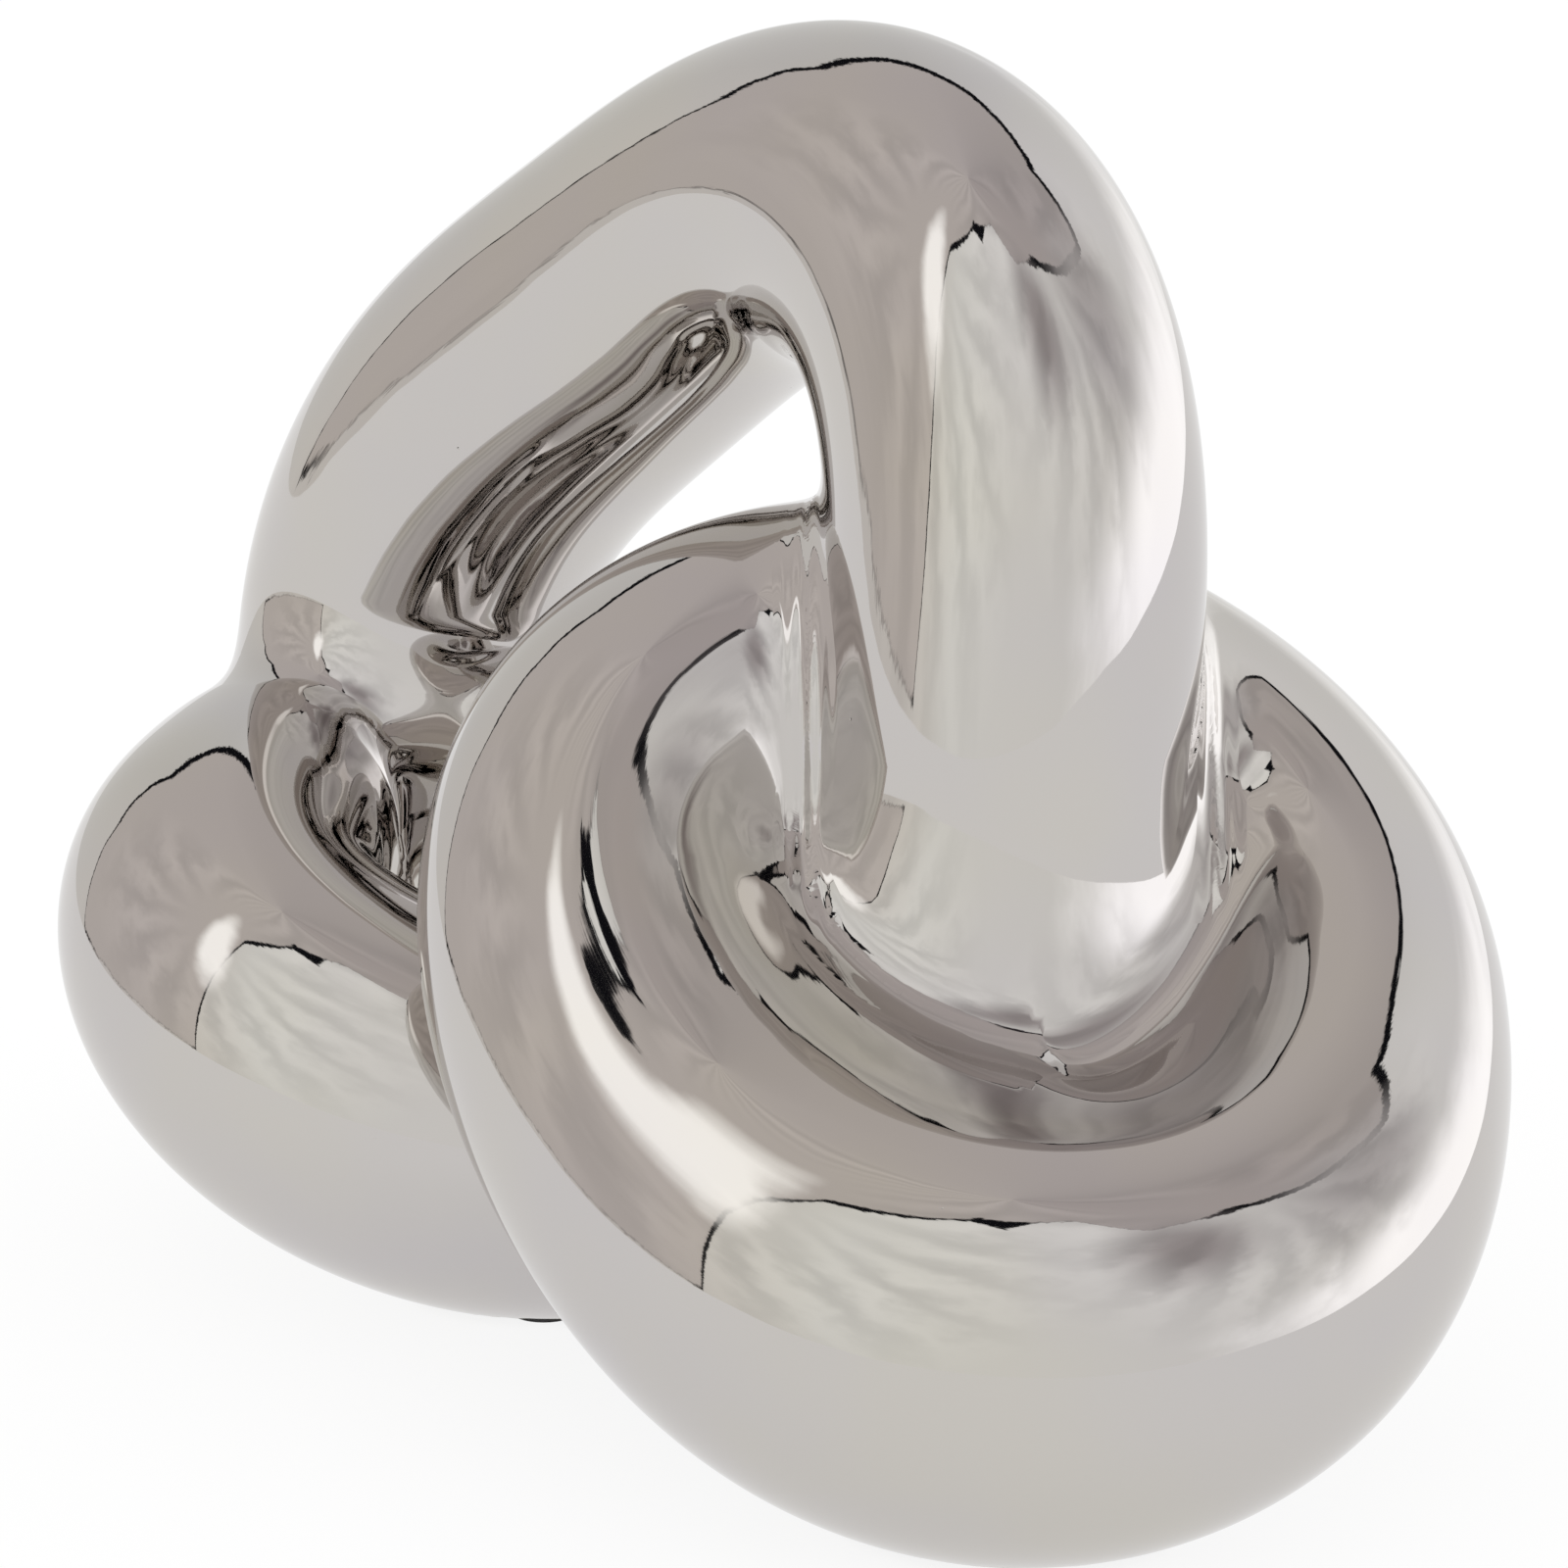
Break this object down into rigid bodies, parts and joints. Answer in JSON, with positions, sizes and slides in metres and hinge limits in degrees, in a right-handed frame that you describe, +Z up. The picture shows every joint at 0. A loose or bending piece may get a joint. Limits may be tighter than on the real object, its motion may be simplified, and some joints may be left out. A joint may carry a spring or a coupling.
{
  "type": "ceramic chain sculpture",
  "caption": "Tabletop ornament: fat closed ceramic links, interlocked like a chain, fused where they touch, with a mirror plated glaze.",
  "frame": {"origin": "bottom centre of the bounding box, in the plane that the felt pads stand on", "axes": "+Z up; -Y towards the viewer of the picture, the side of the front link; -X towards the left link; +Y is the longest extent and Z the shortest"},
  "size_m": [0.2258, 0.2476, 0.2024],
  "materials": {
    "plated_glaze": "glazed ceramic with a plated metallic film, polished like a mirror",
    "plated_slip": "smoothed slip under the same glaze and plated film as the links",
    "plated_web": "the same ceramic, glaze and plated film as the links",
    "felt": "pressed wool felt, matt"
  },
  "bodies": {
    "root": {"link_top": "plated_glaze", "link_front": "plated_glaze", "link_left": "plated_glaze", "fillet_top_front": "plated_slip", "fillet_top_front_2": "plated_slip", "fillet_top_left": "plated_slip", "fillet_top_left_2": "plated_slip", "web_front": "plated_web", "pad_top_a": "felt", "pad_top_b": "felt", "pad_front_a": "felt", "pad_front_b": "felt", "pad_left_a": "felt", "pad_left_b": "felt"}
  },
  "joints": []
}
